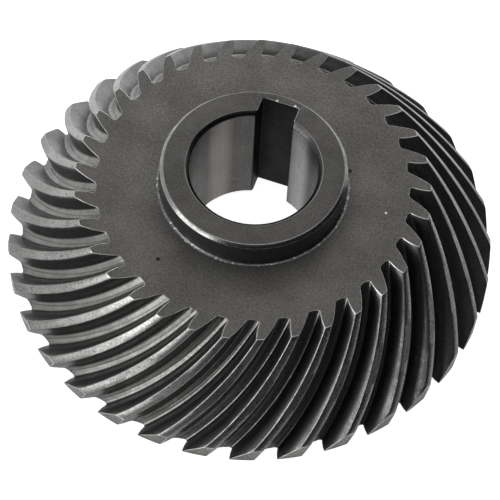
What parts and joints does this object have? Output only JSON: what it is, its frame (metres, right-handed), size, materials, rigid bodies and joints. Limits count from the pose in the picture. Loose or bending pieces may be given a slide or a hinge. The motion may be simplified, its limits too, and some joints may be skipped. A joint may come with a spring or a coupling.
{
  "type": "spiral bevel gear",
  "caption": "Steel spiral bevel gear: curved teeth on a cone, a flat front face, a short raised hub and a round bore with a keyway.",
  "frame": {"origin": "centre of the flat back face, on the bore axis", "axes": "+Z along the bore axis towards the hub, +Y towards the keyway"},
  "size_m": [0.078, 0.078, 0.023],
  "materials": {
    "steel": "dark satin, fine blasted grain"
  },
  "bodies": {
    "root": {"bevel_gear": "steel"}
  },
  "joints": []
}
